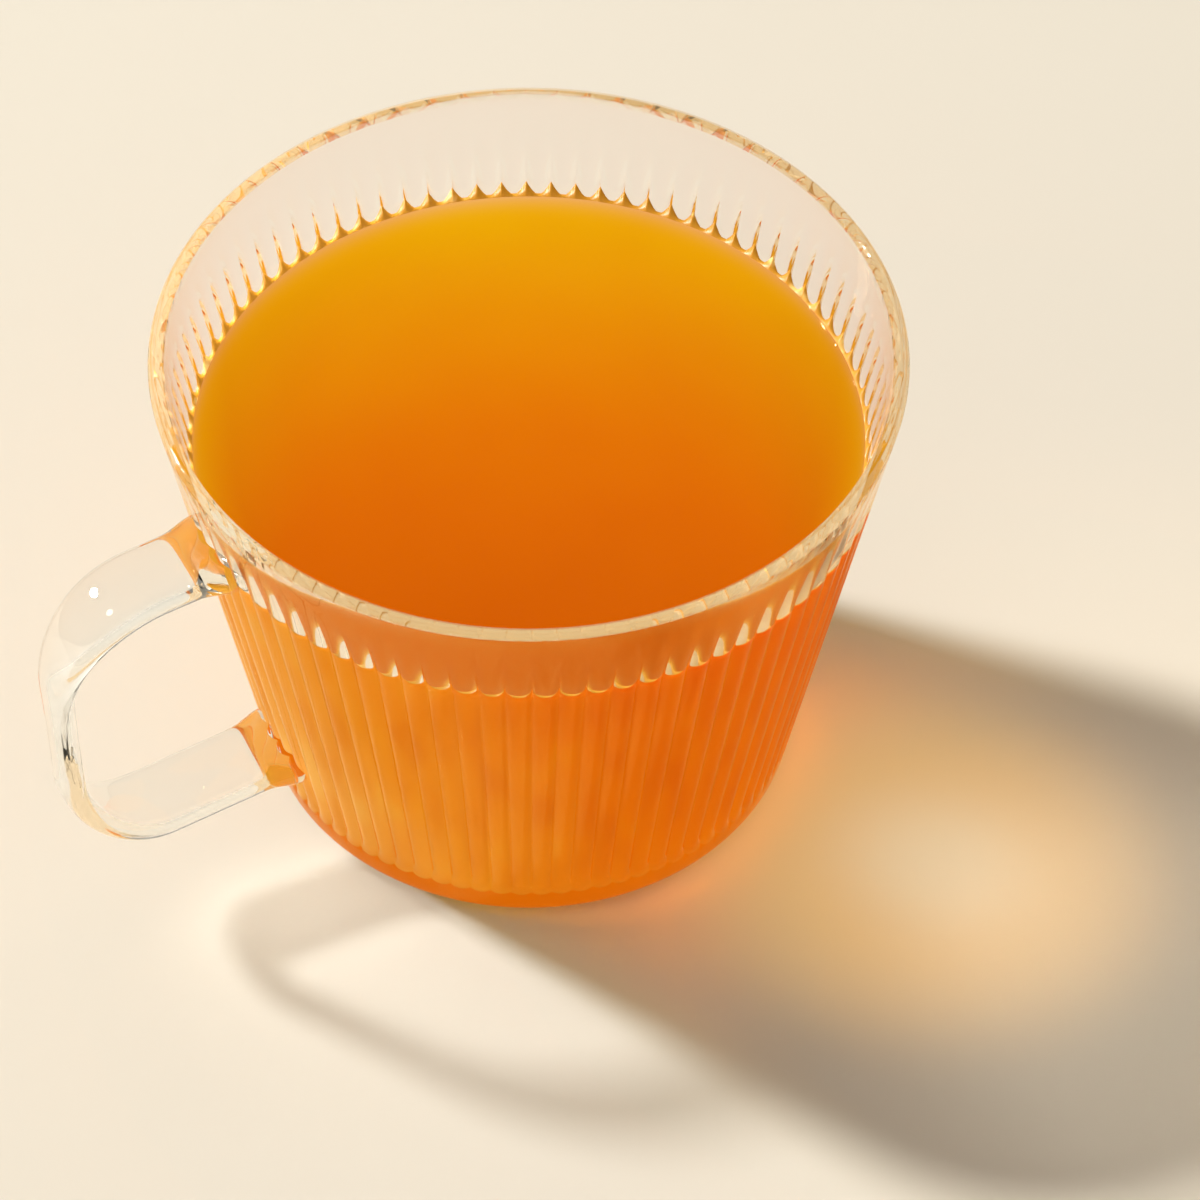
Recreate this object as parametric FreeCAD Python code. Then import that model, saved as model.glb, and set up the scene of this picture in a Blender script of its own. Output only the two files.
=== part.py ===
import FreeCAD, Part
import math
import os
from FreeCAD import Vector as V

# Ribbed glass tea cup with a strap handle, filled with tea.
# Frame: origin at the centre of the base, +Z up, handle along -X. Millimetres.

# ---- driving dimensions -------------------------------------------------
height = 70.2            # base to the crown of the rim
rim_radius = 48.0        # outer radius at the rim
base_radius = 34.1       # outer cone carried down to the base plane
wall = 1.8               # rib crest to the inner wall, and rim thickness
floor_thickness = 3.2    # glass under the tea
base_corner = 3.9        # rounding between the wall and the base
inner_corner = 5.5       # rounding between the inner wall and the floor

rib_count = 84           # convex ribs round the outside
rib_depth = 0.6          # crest above the groove between two ribs
rib_fillet = 0.05        # how far each cusp lies under the groove surface
band_height = 4.2        # smooth band under the rim
rib_fade = 4.2           # length over which the grooves fade in at the bottom
rib_fade_top = 11.0      # and over which they die out toward the rim
rib_bottom = 4.6         # where the grooves start above the base

tea_level = 53.9         # surface of the tea above the base

handle_top_z = 55.9      # centre line of the upper arm at the wall
handle_top_end_z = 54.8  # the upper arm drops slightly outward
handle_top_reach = 67.9  # centre line of the grip, upper corner
handle_low_z = 14.6      # centre line of the lower arm at the wall
handle_low_end_z = 12.8
handle_low_reach = 65.9  # centre line of the grip, lower corner
handle_top_bend = 13.8   # centre-line bend radii
handle_low_bend = 11.5
strap_half_thick = 1.6
strap_half_wide_top = 5.7
strap_half_wide_grip = 2.9
strap_half_wide_low = 5.6
flare_wide = 0.9         # the strap widens where it melts into the wall
flare_thick = 1.0
flare_length = 5.0

os.makedirs("parts", exist_ok=True)


def crest(z):
    """Outer radius over the rib crests."""
    return base_radius + (rim_radius - base_radius) * z / height


slope = (rim_radius - base_radius) / height
across = math.sqrt(1 + slope * slope)      # horizontal width of a unit of wall


def inner(z):
    """Radius of the smooth inner wall."""
    return crest(z) - wall * across


def smooth(t):
    t = max(0.0, min(1.0, t))
    return t * t * (3 - 2 * t)


def line(a, b):
    return Part.LineSegment(V(a[0], 0, a[1]), V(b[0], 0, b[1])).toShape()


def arc(a, m, b):
    return Part.Arc(V(a[0], 0, a[1]), V(m[0], 0, m[1]), V(b[0], 0, b[1])).toShape()


def corner(a, b, c, r):
    """Tangent points and mid point of a fillet of radius r at b."""
    ab = (a[0] - b[0], a[1] - b[1])
    cb = (c[0] - b[0], c[1] - b[1])
    la, lc = math.hypot(*ab), math.hypot(*cb)
    u = (ab[0] / la, ab[1] / la)
    w = (cb[0] / lc, cb[1] / lc)
    half = math.acos(max(-1, min(1, u[0] * w[0] + u[1] * w[1]))) / 2
    d = r / math.tan(half)
    m = (u[0] + w[0], u[1] + w[1])
    lm = math.hypot(*m)
    k = r / math.sin(half)
    ctr = (b[0] + m[0] / lm * k, b[1] + m[1] / lm * k)
    return ((b[0] + u[0] * d, b[1] + u[1] * d),
            (ctr[0] - m[0] / lm * r, ctr[1] - m[1] / lm * r),
            (b[0] + w[0] * d, b[1] + w[1] * d), ctr)


def revolve(edges):
    face = Part.Face(Part.Wire(edges))
    return face.revolve(V(0, 0, 0), V(0, 0, 1), 360)


# ---- outer body: plain cone with the rounded base corner and half the rim --
top_of_grooves = height - band_height
groove = rib_depth - rib_fillet
tip = wall * across / 2                    # rim rounding
rim_z = height - tip
crown = (crest(rim_z) - tip, height)
out_rim = (crest(rim_z), rim_z)
out_rim_mid = (crown[0] + tip * math.sin(math.pi / 4), rim_z + tip * math.sin(math.pi / 4))

b0, bm, b1, _ = corner((0, 0), (crest(0), 0), (crest(height), height), base_corner)
low0 = (crest(rib_bottom), rib_bottom)
low1 = (crest(rib_bottom + rib_fade) - groove, rib_bottom + rib_fade)
up1 = (crest(top_of_grooves - rib_fade_top) - groove, top_of_grooves - rib_fade_top)
up0 = (crest(top_of_grooves), top_of_grooves)
body = revolve([
    line((0, 0), b0), arc(b0, bm, b1), line(b1, low0), line(low0, low1),
    line(low1, up1), line(up1, up0), line(up0, out_rim),
    arc(out_rim, out_rim_mid, crown), line(crown, (0, height)), line((0, height), (0, 0))])


# ---- ribs: one reeded plug whose crests reach the outer cone ---------------
def reeded_wire(z, r_crest, r_cusp):
    step = 2 * math.pi / rib_count
    edges = []
    for i in range(rib_count):
        a = i * step
        pts = []
        for k, r in ((-0.5, r_cusp), (0.0, r_crest), (0.5, r_cusp)):
            pts.append(V(r * math.cos(a + k * step), r * math.sin(a + k * step), z))
        edges.append(Part.Arc(*pts).toShape())
    return Part.Wire(edges)


dive = 0.12                                # the crests sink under the bands
rib_sections = [
    (rib_bottom - 0.6, dive),
    (rib_bottom + 1.2, 0.015),
    (top_of_grooves - 1.2, 0.015),
    (top_of_grooves + 0.6, dive)]
plug = Part.makeLoft(
    [reeded_wire(z, crest(z) - d, crest(z) - d - rib_depth) for z, d in rib_sections],
    True, True)


# ---- handle: a flat glass strap bent into a rounded D -----------------------
p0 = (crest(handle_top_z) - 3.2, handle_top_z)
p1 = (handle_top_reach, handle_top_end_z)
p2 = (handle_low_reach, handle_low_end_z)
p3 = (crest(handle_low_z) - 3.2, handle_low_z)
f1 = corner(p0, p1, p2, handle_top_bend)
f2 = corner(p1, p2, p3, handle_low_bend)


def run(a, b, n):
    return [((a[0] + (b[0] - a[0]) * i / n, a[1] + (b[1] - a[1]) * i / n)) for i in range(n)]


def bend(f, n):
    a, _, b, c = f
    t0 = math.atan2(a[1] - c[1], a[0] - c[0])
    t1 = math.atan2(b[1] - c[1], b[0] - c[0])
    dt = (t1 - t0 + math.pi) % (2 * math.pi) - math.pi
    r = math.hypot(a[0] - c[0], a[1] - c[1])
    return [(c[0] + r * math.cos(t0 + dt * i / n), c[1] + r * math.sin(t0 + dt * i / n))
            for i in range(n)]


centre = run(p0, f1[0], 7) + bend(f1, 6) + run(f1[2], f2[0], 3) + bend(f2, 6) + run(f2[2], p3, 8) + [p3]
along = [0.0]
for q, s in zip(centre, centre[1:]):
    along.append(along[-1] + math.hypot(s[0] - q[0], s[1] - q[1]))
total = along[-1]


def strap_half_wide(t):
    if t < 0.5:
        return strap_half_wide_top + (strap_half_wide_grip - strap_half_wide_top) * smooth((t - 0.16) / 0.30)
    return strap_half_wide_grip + (strap_half_wide_low - strap_half_wide_grip) * smooth((t - 0.52) / 0.26)


def strap_section(i):
    """Superelliptic section across the strap at centre point i."""
    q = centre[i]
    a = centre[max(0, i - 1)]
    b = centre[min(len(centre) - 1, i + 1)]
    if i == 0:
        a, b = centre[0], centre[1]
    if i == len(centre) - 1:
        a, b = centre[-2], centre[-1]
    tx, tz = b[0] - a[0], b[1] - a[1]
    n = math.hypot(tx, tz)
    nx, nz = -tz / n, tx / n
    near = min(along[i], total - along[i])
    k = 1 - smooth((near - 2.6) / flare_length)
    wide = strap_half_wide(along[i] / total) + flare_wide * k
    thick = strap_half_thick + flare_thick * k
    pts = []
    count = 20
    for j in range(count):
        t = 2 * math.pi * j / count
        cw, sw = math.cos(t), math.sin(t)
        u = math.copysign(abs(cw) ** 0.72, cw) * wide
        v = math.copysign(abs(sw) ** 0.82, sw) * thick
        pts.append(V(-(q[0] + nx * v), u, q[1] + nz * v))
    curve = Part.BSplineCurve()
    curve.interpolate(Points=pts, PeriodicFlag=True)
    return Part.Wire([curve.toShape()])


strap = Part.makeLoft([strap_section(i) for i in range(len(centre))], True, False)

# ---- cavity: the smooth inside, opening into the inner half of the rim ------
in_rim = (crown[0] - tip, rim_z)
in_rim_mid = (crown[0] - tip * math.sin(math.pi / 4), rim_z + tip * math.sin(math.pi / 4))
floor_c = (inner(floor_thickness), floor_thickness)
c0, cm, c1, _ = corner((0, floor_thickness), floor_c, (inner(height), height), inner_corner)
cavity = revolve([
    line((0, floor_thickness), c0), arc(c0, cm, c1), line(c1, in_rim),
    arc(in_rim, in_rim_mid, crown), line(crown, (crown[0], height + 2)),
    line((crown[0], height + 2), (0, height + 2)), line((0, height + 2), (0, floor_thickness))])

cup = body.fuse(plug).fuse(strap).cut(cavity)
cup = cup.removeSplitter()
if cup.ShapeType != "Solid":
    cup = max(cup.Solids, key=lambda s: s.Volume)

# ---- tea: fills the inside up to its level, against the wall ----------------
t_edge = (inner(tea_level), tea_level)
tea = revolve([
    line((0, floor_thickness), c0), arc(c0, cm, c1), line(c1, t_edge),
    line(t_edge, (0, tea_level)), line((0, tea_level), (0, floor_thickness))])
if tea.ShapeType != "Solid":
    tea = tea.Solids[0]

for name, solid in (("glass_cup", cup), ("tea", tea)):
    solid.exportStep("parts/%s.step" % name)
    bb = solid.BoundBox
    print(name, "valid", solid.isValid(), "solids", len(solid.Solids), "faces", len(solid.Faces),
          "volume_cm3", round(solid.Volume / 1000, 2),
          "box", [round(v, 2) for v in (bb.XMin, bb.YMin, bb.ZMin, bb.XMax, bb.YMax, bb.ZMax)])
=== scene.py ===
import math
import bmesh
import bpy
from mathutils import Matrix, Vector


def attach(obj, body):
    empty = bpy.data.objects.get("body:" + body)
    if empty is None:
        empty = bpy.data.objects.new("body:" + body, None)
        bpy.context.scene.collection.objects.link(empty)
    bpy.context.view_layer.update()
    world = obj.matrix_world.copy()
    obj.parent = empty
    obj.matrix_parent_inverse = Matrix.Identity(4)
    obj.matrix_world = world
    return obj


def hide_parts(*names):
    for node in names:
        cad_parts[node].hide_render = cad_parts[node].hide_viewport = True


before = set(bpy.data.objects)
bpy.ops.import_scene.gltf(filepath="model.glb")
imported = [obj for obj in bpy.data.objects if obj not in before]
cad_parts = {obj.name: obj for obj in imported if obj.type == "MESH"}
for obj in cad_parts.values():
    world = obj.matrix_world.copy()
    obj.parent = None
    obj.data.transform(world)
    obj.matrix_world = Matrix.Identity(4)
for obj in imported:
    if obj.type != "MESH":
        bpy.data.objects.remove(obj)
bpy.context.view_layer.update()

MM = 0.001

# ---- sizes of the cup, in millimetres, as in the CAD ----------------------
HEIGHT = 70.2
RIM_R = 48.0
BASE_R = 34.1
WALL = 1.8
FLOOR_T = 3.2
BASE_CORNER = 3.9
INNER_CORNER = 5.5
RIBS = 84
RIB_DEPTH = 0.6
BAND = 4.2
FADE = 4.2
FADE_TOP = 11.0
RIB_BOTTOM = 4.6
TEA_LEVEL = 53.9
MENISCUS = 1.0

SLOPE = (RIM_R - BASE_R) / HEIGHT
ACROSS = math.sqrt(1 + SLOPE * SLOPE)


def crest(z):
    return BASE_R + SLOPE * z


def inner(z):
    return crest(z) - WALL * ACROSS


def smooth(t):
    t = max(0.0, min(1.0, t))
    return t * t * (3 - 2 * t)


def corner(a, b, c, r):
    ab = Vector(a) - Vector(b)
    cb = Vector(c) - Vector(b)
    u, w = ab.normalized(), cb.normalized()
    half = u.angle(w) / 2
    d = r / math.tan(half)
    m = (u + w).normalized()
    ctr = Vector(b) + m * (r / math.sin(half))
    return Vector(b) + u * d, Vector(b) + w * d, ctr


def bend(a, b, ctr, n):
    """n + 1 points on the short arc from a to b about ctr."""
    t0 = math.atan2(a[1] - ctr[1], a[0] - ctr[0])
    t1 = math.atan2(b[1] - ctr[1], b[0] - ctr[0])
    dt = (t1 - t0 + math.pi) % (2 * math.pi) - math.pi
    r = (Vector(a) - ctr).length
    return [(ctr[0] + r * math.cos(t0 + dt * i / n), ctr[1] + r * math.sin(t0 + dt * i / n))
            for i in range(n + 1)]


def steps(a, b, n):
    return [(a[0] + (b[0] - a[0]) * i / n, a[1] + (b[1] - a[1]) * i / n) for i in range(1, n + 1)]


# ---- materials ------------------------------------------------------------
def new_material(name):
    m = bpy.data.materials.new(name)
    m.use_nodes = True
    nt = m.node_tree
    nt.nodes.clear()
    out = nt.nodes.new("ShaderNodeOutputMaterial")
    return m, nt, out


def node(nt, kind, **values):
    n = nt.nodes.new(kind)
    for k, v in values.items():
        if k in n.inputs:
            n.inputs[k].default_value = v
        else:
            setattr(n, k, v)
    return n


def glass_bump(nt, height, scale_mm):
    """Slow unevenness of pressed glass, as a bump."""
    tc = nt.nodes.new("ShaderNodeTexCoord")
    wave = node(nt, "ShaderNodeTexNoise", Scale=1000.0 / scale_mm, Detail=0.0)
    nt.links.new(tc.outputs["Object"], wave.inputs["Vector"])
    bump = node(nt, "ShaderNodeBump", Strength=1.0, Distance=height * MM)
    nt.links.new(wave.outputs["Fac"], bump.inputs["Height"])
    return tc, bump


def pass_lamps(nt, shader, out, tint):
    """Lamps shine through, tinted, so that the shadow is a clear thing's pale one."""
    path = nt.nodes.new("ShaderNodeLightPath")
    clear = nt.nodes.new("ShaderNodeBsdfTransparent")
    clear.inputs["Color"].default_value = tint
    mix = nt.nodes.new("ShaderNodeMixShader")
    nt.links.new(path.outputs["Is Shadow Ray"], mix.inputs[0])
    nt.links.new(shader.outputs["BSDF"], mix.inputs[1])
    nt.links.new(clear.outputs["BSDF"], mix.inputs[2])
    nt.links.new(mix.outputs["Shader"], out.inputs["Surface"])


def make_glass(name, ior, bump_mm, wave_mm, shade):
    m, nt, out = new_material(name)
    b = node(nt, "ShaderNodeBsdfPrincipled")
    b.inputs["Base Color"].default_value = (0.985, 0.99, 0.982, 1)
    b.inputs["IOR"].default_value = ior
    b.inputs["Roughness"].default_value = 0.0
    b.inputs["Transmission Weight"].default_value = 1.0
    tc, bump = glass_bump(nt, bump_mm, wave_mm)
    nt.links.new(bump.outputs["Normal"], b.inputs["Normal"])
    pass_lamps(nt, b, out, shade)
    return m


def make_wall(name, bump_mm, wave_mm, mirror, within, total, through):
    """Glass of the ribbed wall: refraction and reflection by Fresnel, the outer reflection tinted
    by the tea behind it; "through" lets part of the light go straight in, unbent."""
    m, nt, out = new_material(name)
    L = nt.links.new
    tc, bump = glass_bump(nt, bump_mm, wave_mm)
    fresnel = node(nt, "ShaderNodeFresnel", IOR=1.5)
    refract = node(nt, "ShaderNodeBsdfRefraction", Roughness=0.0, IOR=1.5)
    refract.inputs["Color"].default_value = (0.998, 0.999, 0.995, 1)
    shine = node(nt, "ShaderNodeBsdfAnisotropic", Roughness=0.0)
    geo = nt.nodes.new("ShaderNodeNewGeometry")
    tint = node(nt, "ShaderNodeMix", data_type="RGBA")
    tint.inputs[6].default_value = mirror
    tint.inputs[7].default_value = within
    L(geo.outputs["Backfacing"], tint.inputs[0])
    # a reflection that is total, or nearly, has a tint of its own
    full = node(nt, "ShaderNodeMix", data_type="RGBA")
    L(fresnel.outputs["Fac"], full.inputs[0])
    L(tint.outputs[2], full.inputs[6])
    full.inputs[7].default_value = total
    L(full.outputs[2], shine.inputs["Color"])
    for n in (fresnel, refract, shine):
        L(bump.outputs["Normal"], n.inputs["Normal"])
    glass = nt.nodes.new("ShaderNodeMixShader")
    L(fresnel.outputs["Fac"], glass.inputs[0])
    L(refract.outputs["BSDF"], glass.inputs[1])
    L(shine.outputs["BSDF"], glass.inputs[2])
    last = glass
    if through > 0:
        straight = nt.nodes.new("ShaderNodeBsdfTransparent")
        straight.inputs["Color"].default_value = (0.97, 0.97, 0.96, 1)
        last = nt.nodes.new("ShaderNodeMixShader")
        last.inputs[0].default_value = through
        L(glass.outputs["Shader"], last.inputs[1])
        L(straight.outputs["BSDF"], last.inputs[2])
    path = nt.nodes.new("ShaderNodeLightPath")
    clear = nt.nodes.new("ShaderNodeBsdfTransparent")
    clear.inputs["Color"].default_value = (0.93, 0.93, 0.92, 1)
    lamps = nt.nodes.new("ShaderNodeMixShader")
    L(path.outputs["Is Shadow Ray"], lamps.inputs[0])
    L(last.outputs["Shader"], lamps.inputs[1])
    L(clear.outputs["BSDF"], lamps.inputs[2])
    L(lamps.outputs["Shader"], out.inputs["Surface"])
    return m


ABSORB_COLOUR = (0.9975, 0.982, 0.0, 1)
ABSORB_DENSITY = 1000.0


def make_tea_top():
    """The still surface: bends what is under it, and the tea below takes up blue, then green."""
    m, nt, out = new_material("tea_surface")
    b = node(nt, "ShaderNodeBsdfPrincipled")
    b.inputs["Base Color"].default_value = (1, 1, 1, 1)
    b.inputs["IOR"].default_value = 1.33
    b.inputs["Roughness"].default_value = 0.0
    b.inputs["Transmission Weight"].default_value = 1.0
    b.inputs["Specular Tint"].default_value = (1.0, 0.62, 0.15, 1)
    tc, bump = glass_bump(nt, 0.004, 9.0)
    nt.links.new(bump.outputs["Normal"], b.inputs["Normal"])
    vol = nt.nodes.new("ShaderNodeVolumeAbsorption")
    vol.inputs["Color"].default_value = ABSORB_COLOUR
    vol.inputs["Density"].default_value = ABSORB_DENSITY
    pass_lamps(nt, b, out, (0.97, 0.97, 0.97, 1))
    nt.links.new(vol.outputs["Volume"], out.inputs["Volume"])
    return m


def make_meniscus_painted_glints():
    """The thin ring where the tea climbs the wall: a broken bright line of painted highlight that glows by
    emission.
    """
    m, nt, out = new_material("tea_meniscus_painted_glints")
    L = nt.links.new
    tc = nt.nodes.new("ShaderNodeTexCoord")
    glint_dashes = node(nt, "ShaderNodeTexNoise", Scale=260.0, Detail=3.0)
    L(tc.outputs["Object"], glint_dashes.inputs["Vector"])
    ramp = nt.nodes.new("ShaderNodeValToRGB")
    e = ramp.color_ramp.elements
    e[0].position, e[0].color = 0.60, (0.55, 0.24, 0.012, 1)
    e[1].position, e[1].color = 0.74, (1.0, 0.66, 0.20, 1)
    L(glint_dashes.outputs["Fac"], ramp.inputs["Fac"])
    # painted highlight: the bright bits of the ring give off their own light by emission
    b = node(nt, "ShaderNodeBsdfPrincipled", Roughness=0.4)
    b.inputs["Emission Strength"].default_value = 0.45
    L(ramp.outputs["Color"], b.inputs["Base Color"])
    L(ramp.outputs["Color"], b.inputs["Emission Color"])
    pass_lamps(nt, b, out, (0.95, 0.9, 0.8, 1))
    return m


def make_tea_side():
    """The tea where it meets the glass: a surface that glows by its own emission, painted light that stands
    in for the light carried through the tea.

    From within, through the surface, this painted light is seen at the end of a path through
    the tea; from outside, through the wall, it is the body of the tea itself, with painted shading, painted
    stripes of light and painted reflection colours.
    """
    m, nt, out = new_material("tea_body_painted_glow")
    L = nt.links.new
    tc = nt.nodes.new("ShaderNodeTexCoord")
    geo = nt.nodes.new("ShaderNodeNewGeometry")

    # a slow unevenness that runs through both sides
    cloud = node(nt, "ShaderNodeTexNoise", Scale=45.0, Detail=2.0)
    L(tc.outputs["Object"], cloud.inputs["Vector"])

    def along(direction, reach, low, high):
        """0..1 with the place in the tea along a direction, jogged by the unevenness."""
        dot = node(nt, "ShaderNodeVectorMath", operation="DOT_PRODUCT")
        L(tc.outputs["Object"], dot.inputs[0])
        dot.inputs[1].default_value = direction
        span = node(nt, "ShaderNodeMapRange")
        span.inputs["From Min"].default_value = low * reach
        span.inputs["From Max"].default_value = high * reach
        L(dot.outputs["Value"], span.inputs["Value"])
        jog = node(nt, "ShaderNodeMath", operation="MULTIPLY_ADD")
        jog.inputs[1].default_value = 0.16
        L(cloud.outputs["Fac"], jog.inputs[0])
        L(span.outputs["Result"], jog.inputs[2])
        sub = node(nt, "ShaderNodeMath", operation="SUBTRACT")
        L(jog.outputs["Value"], sub.inputs[0])
        sub.inputs[1].default_value = 0.08
        return sub

    def ramp_of(stops, value, socket="Value"):
        r = nt.nodes.new("ShaderNodeValToRGB")
        e = r.color_ramp.elements
        e[0].position, e[0].color = stops[0]
        e[1].position, e[1].color = stops[-1]
        for p, c in stops[1:-1]:
            k = e.new(p)
            k.color = c
        L(value.outputs[socket], r.inputs["Fac"])
        return r

    # painted light: the inner face glows by emission, brightest on the side where the light comes in
    glow = ramp_of([(0.0, (0.98, 0.52, 0.11, 1)), (0.27, (0.81, 0.35, 0.18, 1)),
                    (0.6, (0.79, 0.31, 0.15, 1)), (0.82, (0.88, 0.40, 0.19, 1)),
                    (1.0, (0.94, 0.51, 0.26, 1))],
                   along((0.474, 0.88, -0.40), 0.042, -1.48, 0.78))
    inside = node(nt, "ShaderNodeEmission", Strength=1.0)
    L(glow.outputs["Color"], inside.inputs["Color"])

    # painted light and shade: from outside, golden low down on the lit side, deep orange away from it
    body = ramp_of([(0.0, (0.82, 0.085, 0.0, 1)), (0.38, (0.86, 0.15, 0.0, 1)),
                    (0.7, (0.88, 0.26, 0.008, 1)), (1.0, (0.92, 0.43, 0.09, 1))],
                   along((-0.80, 0.42, -0.40), 0.042, -1.15, 0.62))
    # painted light: upright stripes in the colour, standing in for the light the ribs throw into the tea
    squeeze = node(nt, "ShaderNodeMapping")
    squeeze.inputs["Scale"].default_value = (1.0, 1.0, 0.022)
    L(tc.outputs["Object"], squeeze.inputs["Vector"])
    painted_light_stripe_noise = node(nt, "ShaderNodeTexNoise", Scale=330.0, Detail=1.0)
    L(squeeze.outputs["Vector"], painted_light_stripe_noise.inputs["Vector"])
    painted_light_stripes = ramp_of([(0.30, (0.95, 0.84, 0.7, 1)), (0.46, (1.0, 1.0, 1.0, 1)),
                       (0.60, (1.02, 1.06, 1.1, 1)), (0.78, (1.04, 1.28, 1.6, 1))], painted_light_stripe_noise, "Fac")
    lined = node(nt, "ShaderNodeMix", data_type="RGBA", blend_type="MULTIPLY")
    lined.inputs[0].default_value = 1.0
    L(body.outputs["Color"], lined.inputs[6])
    L(painted_light_stripes.outputs["Color"], lined.inputs[7])
    # painted shade: the colour turns deeper orange where the body is seen edge-on
    edge = node(nt, "ShaderNodeLayerWeight", Blend=0.25)
    tint = node(nt, "ShaderNodeMix", data_type="RGBA")
    L(edge.outputs["Facing"], tint.inputs[0])
    L(lined.outputs[2], tint.inputs[6])
    tint.inputs[7].default_value = (0.74, 0.20, 0.01, 1)
    # painted reflection: rays reflected once inside the wall see the body painted golden, graded by height,
    # and rays reflected more often see it pale
    path = nt.nodes.new("ShaderNodeLightPath")
    once = node(nt, "ShaderNodeMath", operation="GREATER_THAN")
    once.inputs[1].default_value = 0.5
    L(path.outputs["Glossy Depth"], once.inputs[0])
    twice = node(nt, "ShaderNodeMath", operation="GREATER_THAN")
    twice.inputs[1].default_value = 1.5
    L(path.outputs["Glossy Depth"], twice.inputs[0])
    gold = node(nt, "ShaderNodeMix", data_type="RGBA")
    L(once.outputs["Value"], gold.inputs[0])
    L(tint.outputs[2], gold.inputs[6])
    painted_reflection_ramp = ramp_of([(0.0, (0.82, 0.15, 0.0, 1)), (0.13, (0.84, 0.18, 0.002, 1)),
                      (0.32, (0.70, 0.29, 0.02, 1)), (1.0, (0.72, 0.31, 0.02, 1))], along((0.0, 0.0, 1.0), 0.054, 0.0, 1.0))
    L(painted_reflection_ramp.outputs["Color"], gold.inputs[7])
    pale = node(nt, "ShaderNodeMix", data_type="RGBA")
    L(twice.outputs["Value"], pale.inputs[0])
    L(gold.outputs[2], pale.inputs[6])
    pale.inputs[7].default_value = (0.83, 0.63, 0.38, 1)
    # the painted light shines at full strength where it is seen, and the floor near by is lit only a little
    # by it
    spill = node(nt, "ShaderNodeMapRange")
    spill.inputs["To Min"].default_value = 0.82
    spill.inputs["To Max"].default_value = 0.03
    L(path.outputs["Diffuse Depth"], spill.inputs["Value"])
    b = node(nt, "ShaderNodeBsdfPrincipled", Roughness=0.5)
    b.inputs["Specular IOR Level"].default_value = 0.0
    dim = node(nt, "ShaderNodeMix", data_type="RGBA", blend_type="MULTIPLY")
    dim.inputs[0].default_value = 1.0
    L(pale.outputs[2], dim.inputs[6])
    dim.inputs[7].default_value = (0.3, 0.3, 0.3, 1)
    L(dim.outputs[2], b.inputs["Base Color"])
    L(pale.outputs[2], b.inputs["Emission Color"])
    L(spill.outputs["Result"], b.inputs["Emission Strength"])
    mix = nt.nodes.new("ShaderNodeMixShader")
    L(geo.outputs["Backfacing"], mix.inputs[0])
    L(b.outputs["BSDF"], mix.inputs[1])
    L(inside.outputs["Emission"], mix.inputs[2])

    # lamps shine through it, so that its shadow glows
    clear = nt.nodes.new("ShaderNodeBsdfTransparent")
    clear.inputs["Color"].default_value = (0.54, 0.49, 0.42, 1)
    lamps = nt.nodes.new("ShaderNodeMixShader")
    L(path.outputs["Is Shadow Ray"], lamps.inputs[0])
    L(mix.outputs["Shader"], lamps.inputs[1])
    L(clear.outputs["BSDF"], lamps.inputs[2])
    L(lamps.outputs["Shader"], out.inputs["Surface"])
    vol = nt.nodes.new("ShaderNodeVolumeAbsorption")
    vol.inputs["Color"].default_value = ABSORB_COLOUR
    vol.inputs["Density"].default_value = ABSORB_DENSITY
    L(vol.outputs["Volume"], out.inputs["Volume"])
    return m


GLASS = make_glass("clear_glass", 1.5, 0.012, 14.0, (0.70, 0.68, 0.65, 1))
WET = make_glass("clear_glass_against_tea", 1.5 / 1.33, 0.008, 14.0, (0.93, 0.93, 0.92, 1))
RIBBED = make_wall("clear_glass_ribbed", 0.006, 14.0, (0.95, 0.5, 0.05, 1), (1, 1, 1, 1), (1, 1, 1, 1), 0.0)
LIP = make_wall("clear_glass_lip", 0.006, 14.0, (1.0, 0.96, 0.9, 1), (1, 1, 1, 1), (1, 1, 1, 1), 0.66)
DRY = make_wall("clear_glass_inside", 0.006, 14.0, (0.9, 0.85, 0.78, 1), (1.0, 0.60, 0.12, 1), (1.0, 0.96, 0.88, 1), 0.0)
TEA_TOP = make_tea_top()
MENISCUS_PAINTED_GLINTS = make_meniscus_painted_glints()
TEA_SIDE = make_tea_side()


# ---- the cup: one closed mesh, ribbed outside, smooth inside ---------------
def column_angles():
    per = (-0.5, -0.455, -0.37, -0.25, -0.12, 0.0, 0.12, 0.25, 0.37, 0.455)
    step = 2 * math.pi / RIBS
    return [((i + k) * step, abs(k) * 2) for i in range(RIBS) for k in per]


COLUMNS = column_angles()


def groove(u):
    """0 on a rib's crest, 1 in the groove between two ribs."""
    return u * u


def rib_fade(z):
    top = HEIGHT - BAND
    return min(smooth((z - RIB_BOTTOM) / FADE), smooth((top - z) / FADE_TOP))


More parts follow.
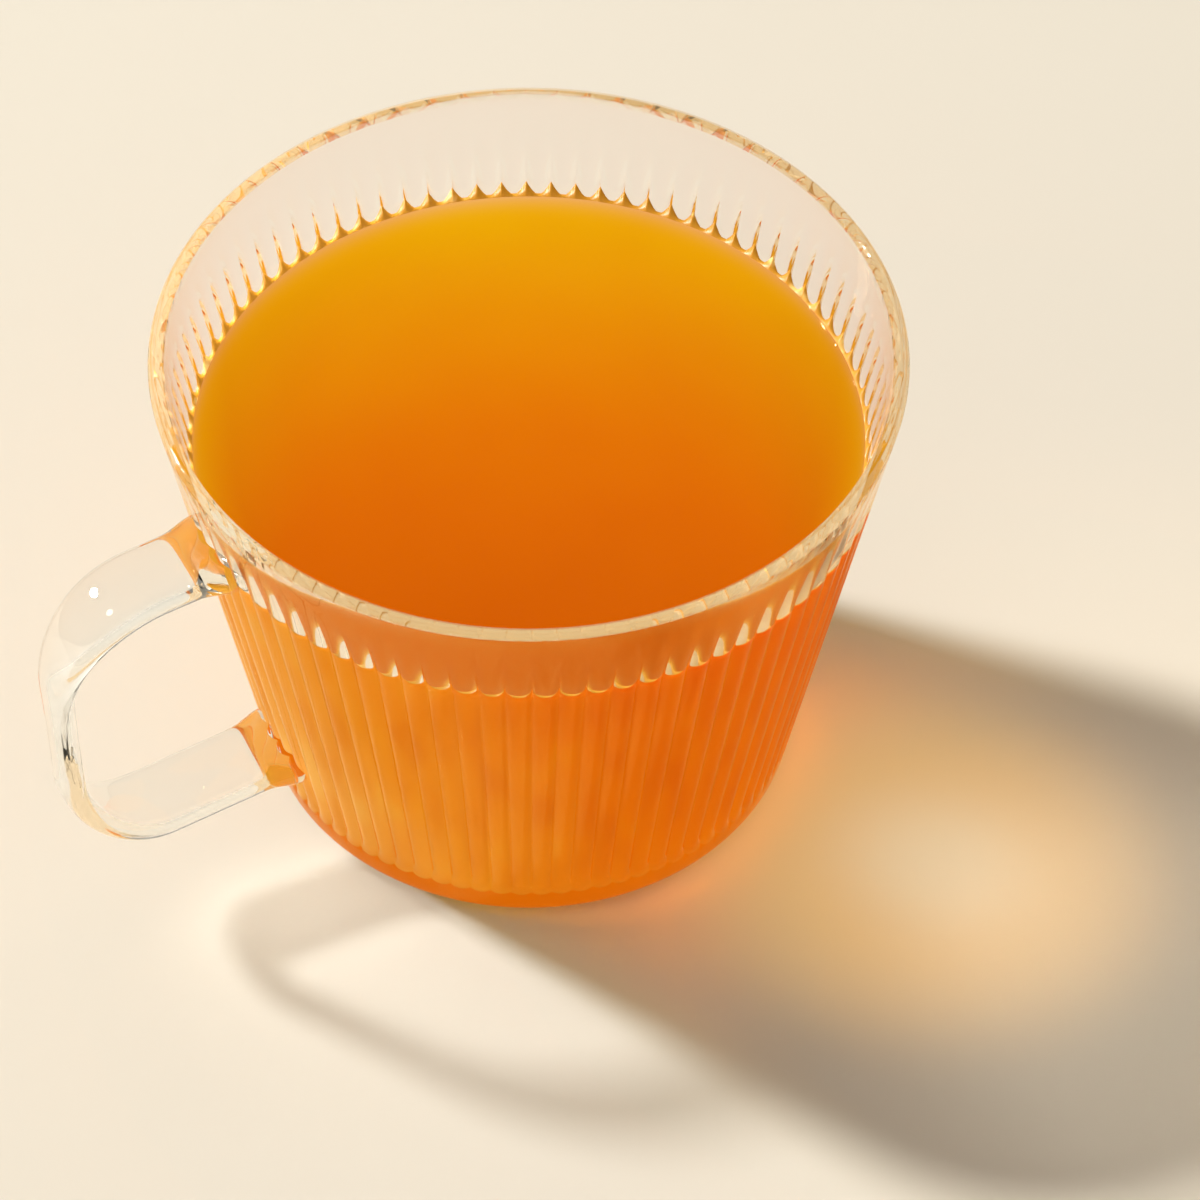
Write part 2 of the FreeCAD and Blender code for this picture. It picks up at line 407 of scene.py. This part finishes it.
def lathe(name, rings, columns, poles=(True, True), slot_of=None):
    """Closed mesh from rings of points; each ring is a function of (angle, u) -> (r, z)."""
    bm = bmesh.new()
    rows = []
    for ring in rings:
        rows.append([bm.verts.new((r * math.cos(a) * MM, r * math.sin(a) * MM, z * MM))
                     for a, u in columns for r, z in (ring(u),)])
    n = len(columns)
    for j in range(len(rows) - 1):
        lo, hi = rows[j], rows[j + 1]
        for i in range(n):
            k = (i + 1) % n
            f = bm.faces.new((lo[i], lo[k], hi[k], hi[i]))
            f.material_index = slot_of(j) if slot_of else 0
            f.smooth = True
    for row, which in ((rows[0], 0), (rows[-1], 1)):
        zc = sum(v.co.z for v in row) / n
        c = bm.verts.new((0, 0, zc))
        for i in range(n):
            k = (i + 1) % n
            f = bm.faces.new((c, row[k], row[i]) if which == 0 else (c, row[i], row[k]))
            f.smooth = True
            f.material_index = slot_of(-1 if which == 0 else len(rows) - 1) if slot_of else 0
    bmesh.ops.recalc_face_normals(bm, faces=bm.faces)
    me = bpy.data.meshes.new(name)
    bm.to_mesh(me)
    bm.free()
    ob = bpy.data.objects.new(name, me)
    bpy.context.scene.collection.objects.link(ob)
    return ob


def plain(r, z):
    return lambda u: (r, z)


def ribbed(z):
    d = RIB_DEPTH * rib_fade(z)
    return lambda u: (crest(z) - d * groove(u), z)


tip = WALL * ACROSS / 2
rim_z = HEIGHT - tip
crown_r = crest(rim_z) - tip
CONTACT = TEA_LEVEL + MENISCUS

rings = []
b0, b1, bc = corner((0, 0), (crest(0), 0), (crest(HEIGHT), HEIGHT), BASE_CORNER)
rings += [plain(b0[0] * 0.5, 0)]
rings += [plain(r, z) for r, z in bend(b0, b1, bc, 8)]
z = RIB_BOTTOM
zs = [RIB_BOTTOM + FADE * i / 8 for i in range(9)]
top = HEIGHT - BAND
zs += [RIB_BOTTOM + FADE + (top - FADE_TOP - RIB_BOTTOM - FADE) * i / 6 for i in range(1, 6)]
zs += [top - FADE_TOP + FADE_TOP * i / 12 for i in range(13)]
rings += [ribbed(z) for z in zs]
LIP_FROM = len(rings)
n = 12
for i in range(n + 1):
    t = math.pi * i / n
    rings.append(plain(crown_r + tip * math.cos(t), rim_z + tip * math.sin(t)))
LIP_TO = len(rings)
c0, c1, cc = corner((0, FLOOR_T), (inner(FLOOR_T), FLOOR_T), (inner(HEIGHT), HEIGHT), INNER_CORNER)
rings += [plain(inner(z), z) for z in (66.0, 61.0, CONTACT)]
WET_FROM = len(rings) - 1
rings += [plain(inner(z), z) for z in (46.0, 32.0, 20.0)]
rings += [plain(r, z) for r, z in bend(c1, c0, cc, 8)]
rings += [plain(c0[0] * 0.5, FLOOR_T)]



def cup_slot(j):
    if j < LIP_FROM:
        return 3
    if j < LIP_TO - 1:
        return 4
    return 1 if j >= WET_FROM else 5


cup = lathe("glass_cup_ribbed", rings, COLUMNS, slot_of=cup_slot)

# ---- handle: a flat glass strap bent into a rounded D ----------------------
TOP_Z, TOP_END_Z, TOP_REACH = 55.9, 54.8, 67.9
LOW_Z, LOW_END_Z, LOW_REACH = 14.6, 12.8, 65.9
TOP_BEND, LOW_BEND = 13.8, 11.5
THICK, WIDE_TOP, WIDE_GRIP, WIDE_LOW = 1.6, 5.7, 2.9, 5.6
FLARE_WIDE, FLARE_THICK, FLARE_LEN = 0.9, 1.0, 5.0
BURY = 1.2

h0 = (crest(TOP_Z) - BURY, TOP_Z)
h1 = (TOP_REACH, TOP_END_Z)
h2 = (LOW_REACH, LOW_END_Z)
h3 = (crest(LOW_Z) - BURY, LOW_Z)
fa = corner(h0, h1, h2, TOP_BEND)
fb = corner(h1, h2, h3, LOW_BEND)
centre = [h0] + steps(h0, fa[0], 16) + bend(fa[0], fa[1], fa[2], 14)[1:] \
    + steps(fa[1], fb[0], 6) + bend(fb[0], fb[1], fb[2], 14)[1:] + steps(fb[1], h3, 18)
along = [0.0]
for p, q in zip(centre, centre[1:]):
    along.append(along[-1] + math.hypot(q[0] - p[0], q[1] - p[1]))
total = along[-1]


def strap_wide(t):
    if t < 0.5:
        return WIDE_TOP + (WIDE_GRIP - WIDE_TOP) * smooth((t - 0.16) / 0.30)
    return WIDE_GRIP + (WIDE_LOW - WIDE_GRIP) * smooth((t - 0.52) / 0.26)


def build_handle():
    bm = bmesh.new()
    rows = []
    m = 36
    for i, p in enumerate(centre):
        a = centre[max(0, i - 1)]
        b = centre[min(len(centre) - 1, i + 1)]
        tx, tz = b[0] - a[0], b[1] - a[1]
        ln = math.hypot(tx, tz)
        nx, nz = -tz / ln, tx / ln
        near = min(along[i], total - along[i])
        k = 1 - smooth((near - (BURY - 0.6)) / FLARE_LEN)
        wide = strap_wide(along[i] / total) + FLARE_WIDE * k
        thick = THICK + FLARE_THICK * k
        row = []
        for j in range(m):
            t = 2 * math.pi * j / m
            cw, sw = math.cos(t), math.sin(t)
            u = math.copysign(abs(cw) ** 0.72, cw) * wide * 0.995
            v = math.copysign(abs(sw) ** 0.82, sw) * thick * 0.995
            row.append(bm.verts.new((-(p[0] + nx * v) * MM, u * MM, (p[1] + nz * v) * MM)))
        rows.append(row)
    for lo, hi in zip(rows, rows[1:]):
        for j in range(m):
            k = (j + 1) % m
            bm.faces.new((lo[j], lo[k], hi[k], hi[j]))
    for row in (rows[0], rows[-1]):
        bm.faces.new(row if row is rows[-1] else list(reversed(row)))
    bmesh.ops.recalc_face_normals(bm, faces=bm.faces)
    for f in bm.faces:
        f.smooth = True
        f.material_index = 2
    me = bpy.data.meshes.new("strap")
    bm.to_mesh(me)
    bm.free()
    ob = bpy.data.objects.new("strap", me)
    bpy.context.scene.collection.objects.link(ob)
    return ob


strap = build_handle()
for ob in (cup, strap):
    for m in (GLASS, WET, GLASS, RIBBED, LIP, DRY):
        ob.data.materials.append(m)
mod = cup.modifiers.new("join", "BOOLEAN")
mod.operation = "UNION"
mod.object = strap
mod.solver = "MANIFOLD"
mod.material_mode = "INDEX"
deps = bpy.context.evaluated_depsgraph_get()
joined = bpy.data.meshes.new_from_object(cup.evaluated_get(deps))
cup.modifiers.clear()
old = cup.data
cup.data = joined
bpy.data.meshes.remove(old)
bpy.data.objects.remove(strap)
while len(cup.data.materials) < 6:
    cup.data.materials.append(None)
for i, m in enumerate((GLASS, WET, GLASS, RIBBED, LIP, DRY)):
    cup.data.materials[i] = m


def finish_cup(ob):
    """Mark the seam of the handle as sharp, and give its faces the cup's slot."""
    bm = bmesh.new()
    bm.from_mesh(ob.data)
    seams = [e for e in bm.edges if len(e.link_faces) == 2
             and sum(1 for f in e.link_faces if f.material_index == 2) == 1]
    for e in bm.edges:
        e.smooth = True
    for e in seams:
        e.smooth = False
    for f in bm.faces:
        f.smooth = True
        if f.material_index == 2:
            f.material_index = 0
    print("cup faces", len(bm.faces), "open edges", sum(1 for e in bm.edges if len(e.link_faces) != 2),
          "seam edges", len(seams))
    bm.to_mesh(ob.data)
    bm.free()


finish_cup(cup)

# ---- the tea: reaches 0.12 mm into the wall and the floor ------------------
REACH = 0.12
t0, t1, tc_ = corner((0, FLOOR_T - REACH), (inner(FLOOR_T - REACH) + REACH, FLOOR_T - REACH),
                     (inner(HEIGHT) + REACH, HEIGHT), INNER_CORNER)
tea_rings = [plain(t0[0] * 0.5, FLOOR_T - REACH)]
tea_rings += [plain(r, z) for r, z in bend(t0, t1, tc_, 8)]
tea_rings += [plain(inner(z) + REACH, z) for z in (20.0, 32.0, 46.0, CONTACT - 1.0)]


def peaks(u):
    """The edge of the tea, drawn up into a point behind each groove."""
    z = CONTACT + 1.9 * max(0.0, (u - 0.2) / 0.8) ** 1.4
    return inner(z) + REACH, z


tea_rings.append(peaks)
SURFACE_FROM = len(tea_rings) - 1
for d in (0.2, 0.5, 0.9, 1.4, 2.1, 3.2, 5.0, 8.0, 14.0, 26.0):
    tea_rings.append(plain(inner(TEA_LEVEL) - d, TEA_LEVEL + MENISCUS * math.exp(-d / 1.3)))
tea = lathe("tea_filling", tea_rings, COLUMNS,
            slot_of=lambda j: 2 if j == SURFACE_FROM else 0 if j > SURFACE_FROM else 1)
tea.data.materials.append(TEA_TOP)
tea.data.materials.append(TEA_SIDE)
tea.data.materials.append(MENISCUS_PAINTED_GLINTS)

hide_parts("glass_cup")
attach(cup, "root")
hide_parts("tea")
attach(tea, "root")

# ---- floor ------------------------------------------------------------------
def make_floor_material():
    m, nt, out = new_material("pale_paper")
    tc = nt.nodes.new("ShaderNodeTexCoord")
    noise = node(nt, "ShaderNodeTexNoise", Scale=9.0, Detail=4.0, Roughness=0.55)
    nt.links.new(tc.outputs["Object"], noise.inputs["Vector"])
    ramp = node(nt, "ShaderNodeValToRGB")
    ramp.color_ramp.elements[0].color = (0.80, 0.735, 0.612, 1)
    ramp.color_ramp.elements[1].color = (0.82, 0.755, 0.632, 1)
    nt.links.new(noise.outputs["Fac"], ramp.inputs["Fac"])
    b = node(nt, "ShaderNodeBsdfPrincipled", Roughness=0.75)
    nt.links.new(ramp.outputs["Color"], b.inputs["Base Color"])
    nt.links.new(b.outputs["BSDF"], out.inputs["Surface"])
    return m


me = bpy.data.meshes.new("floor")
s = 3.0
me.from_pydata([(-s, -s, 0), (s, -s, 0), (s, s, 0), (-s, s, 0)], [], [(0, 1, 2, 3)])
floor = bpy.data.objects.new("floor", me)
floor.location.z = -0.0001
me.materials.append(make_floor_material())
bpy.context.scene.collection.objects.link(floor)

# ---- light --------------------------------------------------------------------
def area(name, azimuth, elevation, distance, size, power, colour, target=(0, 0, 0.03)):
    """azimuth and elevation, in degrees, of the direction from which the light comes."""
    a, e = math.radians(azimuth), math.radians(elevation)
    d = Vector((math.cos(a) * math.cos(e), math.sin(a) * math.cos(e), math.sin(e)))
    L = bpy.data.lights.new(name, "AREA")
    L.shape = "DISK"
    L.size = size
    L.energy = power
    L.color = colour
    ob = bpy.data.objects.new(name, L)
    ob.location = Vector(target) + d * distance
    ob.rotation_euler = (-d).to_track_quat("-Z", "Y").to_euler()
    bpy.context.scene.collection.objects.link(ob)
    return ob


area("key", 123.0, 35.5, 4.5, 0.50, 266.0, (1.0, 0.99, 0.97))



def spot(name, target, azimuth, elevation, distance, reach, power, colour):
    """A small soft pool of light on the floor, as the tea gathers it."""
    a, e = math.radians(azimuth), math.radians(elevation)
    d = Vector((math.cos(a) * math.cos(e), math.sin(a) * math.cos(e), math.sin(e)))
    L = bpy.data.lights.new(name, "SPOT")
    L.spot_size = 2 * math.atan(reach / distance)
    L.spot_blend = 1.0
    L.shadow_soft_size = 0.006
    L.energy = power
    L.color = colour
    ob = bpy.data.objects.new(name, L)
    ob.location = Vector(target) + d * distance
    ob.rotation_euler = (-d).to_track_quat("-Z", "Y").to_euler()
    bpy.context.scene.collection.objects.link(ob)


spot("gathered_warm", (0.033, -0.046, 0), -50, 62, 0.6, 0.036, 8.6, (1.0, 0.55, 0.08))
spot("gathered_wide", (0.058, -0.060, 0), -50, 62, 0.6, 0.085, 1.8, (1.0, 0.66, 0.3))
spot("gathered_core", (0.035, -0.0475, 0), -50, 62, 0.6, 0.014, 3.6, (0.16, 0.66, 1.0))

world = bpy.data.worlds.new("studio")
bpy.context.scene.world = world
world.use_nodes = True
wt = world.node_tree
wt.nodes.clear()
sky_out = wt.nodes.new("ShaderNodeOutputWorld")
bg = wt.nodes.new("ShaderNodeBackground")
bg.inputs["Strength"].default_value = 1.0
tc = wt.nodes.new("ShaderNodeTexCoord")
sep = wt.nodes.new("ShaderNodeSeparateXYZ")
ramp = wt.nodes.new("ShaderNodeValToRGB")
wt.links.new(tc.outputs["Generated"], sep.inputs[0])
wt.links.new(sep.outputs["Z"], ramp.inputs["Fac"])
els = ramp.color_ramp.elements
els[0].position, els[0].color = 0.0, (0.14, 0.13, 0.115, 1)
els[1].position, els[1].color = 1.0, (0.24, 0.235, 0.22, 1)
mid = els.new(0.45)
mid.color = (0.34, 0.33, 0.305, 1)
low = els.new(0.14)
low.color = (0.42, 0.40, 0.36, 1)
wt.links.new(ramp.outputs["Color"], bg.inputs["Color"])
wt.links.new(bg.outputs["Background"], sky_out.inputs["Surface"])

# ---- camera --------------------------------------------------------------------
def camera():
    k = 0.96 * MM                       # the fit's unit is a fiftieth of the rim's radius
    D = 1000.0
    fratio, e, yaw, pitch, roll = CAM
    turn = HANDLE_TURN
    f = fratio * D
    C = Vector((0, -D * math.cos(e), D * math.sin(e)))
    fw = (-C).normalized()
    rt = Vector((1, 0, 0))
    dn = fw.cross(rt)
    base = Matrix((rt, dn, fw))
    ry, rx, rz = yaw / f, pitch / f, roll
    Ry = Matrix(((math.cos(ry), 0, math.sin(ry)), (0, 1, 0), (-math.sin(ry), 0, math.cos(ry))))
    Rx = Matrix(((1, 0, 0), (0, math.cos(rx), -math.sin(rx)), (0, math.sin(rx), math.cos(rx))))
    Rz = Matrix(((math.cos(rz), -math.sin(rz), 0), (math.sin(rz), math.cos(rz), 0), (0, 0, 1)))
    M = Rz @ Rx @ Ry @ base
    spin = Matrix.Rotation(-turn, 3, "Z")
    right, down, forward = (spin @ M[i] for i in range(3))
    cam = bpy.data.cameras.new("camera")
    cam.sensor_width = 36
    cam.lens = f * 36 / 1200
    cam.clip_end = 20
    ob = bpy.data.objects.new("camera", cam)
    R = Matrix((right, -down, -forward)).transposed()
    ob.matrix_world = Matrix.Translation(spin @ C * k) @ R.to_4x4()
    bpy.context.scene.collection.objects.link(ob)
    bpy.context.scene.camera = ob


CAM = (7.2343, 0.8582, -70.9165, -116.7838, -0.0009)
HANDLE_TURN = 0.494
camera()

sc = bpy.context.scene
sc.view_settings.view_transform = "Standard"
sc.cycles.max_bounces = 12
sc.cycles.transmission_bounces = 12
sc.cycles.glossy_bounces = 8
sc.cycles.transparent_max_bounces = 16
sc.cycles.adaptive_threshold = 0.03
